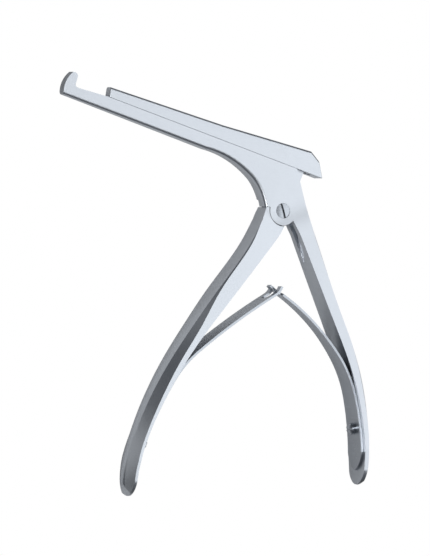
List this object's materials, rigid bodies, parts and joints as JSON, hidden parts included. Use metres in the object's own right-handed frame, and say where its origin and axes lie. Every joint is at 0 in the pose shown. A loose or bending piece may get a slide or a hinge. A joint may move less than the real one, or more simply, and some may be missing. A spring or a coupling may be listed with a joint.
{
  "type": "bone rongeur",
  "caption": "Hand-held bone punch with a footplate on a fixed lower shaft, a sliding upper shaft with a square cutting end, and two bevelled handles held apart by crossed leaf springs.",
  "frame": {"origin": "bottom centre of the bounding box with the instrument lying on its side", "axes": "+Z across the instrument along the pivot's axis, +Y from the handles up to the shaft, +X from the tip towards the rear handle"},
  "size_m": [0.1226, 0.1504, 0.0133],
  "materials": {
    "body_steel": "satin stainless steel",
    "spring_steel": "satin rolled stainless strip",
    "screw_steel": "turned and polished stainless steel"
  },
  "bodies": {
    "frame": {"fixed_frame": "body_steel", "pivot_screw": "screw_steel", "rear_leaf_spring": "spring_steel", "rear_spring_screw": "screw_steel"},
    "slider": {"sliding_shaft": "body_steel", "drive_pin": "screw_steel"},
    "moving_handle": {"front_handle": "body_steel", "front_leaf_spring": "spring_steel", "front_spring_screw": "screw_steel"}
  },
  "joints": [
    {"name": "handle_pivot", "type": "hinge", "parent": "frame", "child": "moving_handle", "pos_m": [0.02605, 0.02592, 0.00665], "axis": [0, 0, 1], "range_deg": [0, 38.3], "stiffness_Nm_per_rad": 1.2, "springref_deg": -20.05, "deforming": ["rear_leaf_spring", "front_leaf_spring"]},
    {"name": "shaft_slide", "type": "slide", "parent": "frame", "child": "slider", "axis": [-0.9466, 0.3223, 0], "range_m": [0, 0.0137]}
  ],
  "couplings": [
    {"joint": "shaft_slide", "follows": "handle_pivot", "m_per_rad": 0.020495}
  ]
}
